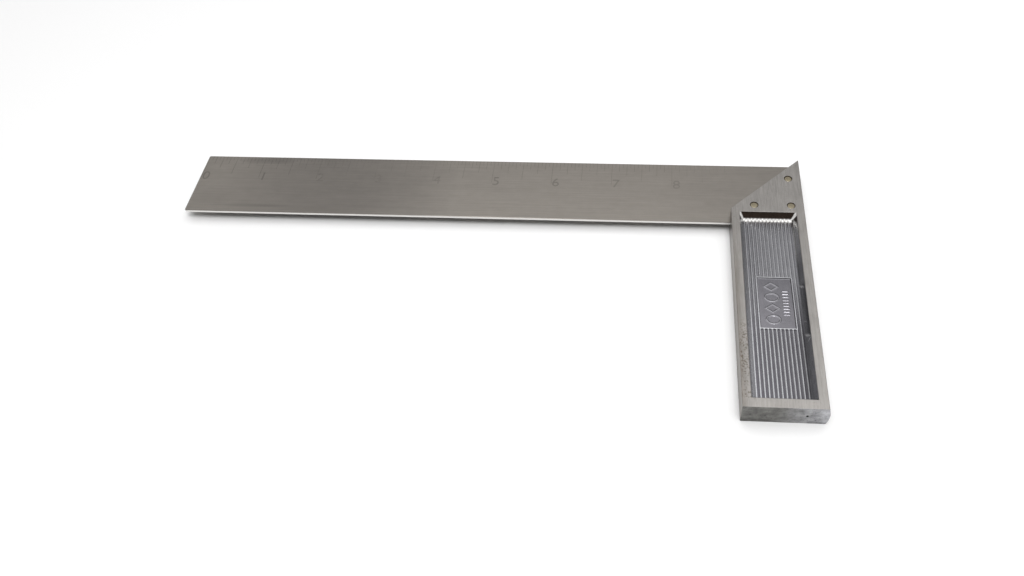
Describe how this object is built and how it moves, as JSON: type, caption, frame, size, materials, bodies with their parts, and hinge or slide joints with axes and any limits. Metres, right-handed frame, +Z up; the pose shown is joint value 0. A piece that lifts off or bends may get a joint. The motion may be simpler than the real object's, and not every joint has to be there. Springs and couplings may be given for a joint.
{
  "type": "try square",
  "caption": "Try square lying flat: graduated steel blade let into a ribbed cast-metal stock with a mitred head and held by flush rivets.",
  "frame": {"origin": "the square's inside corner, where the blade's inner edge crosses the stock's inner face, on the plane the stock rests on", "axes": "+X away from the blade's free end towards the stock's outer side, +Y from the stock's foot towards its mitred tip, +Z up from the resting plane through the stock's thickness"},
  "size_m": [0.257, 0.1226, 0.0092],
  "materials": {
    "blade_steel": "satin, brushed along the blade, lightly smudged",
    "cast_stock": "faces ground along the stock, pockets bright as cast",
    "rivet_brass": "dull peened heads, filed flush"
  },
  "bodies": {
    "root": {"blade": "blade_steel", "stock": "cast_stock", "rivet_tip": "rivet_brass", "rivet_inner": "rivet_brass", "rivet_outer": "rivet_brass"}
  },
  "joints": []
}
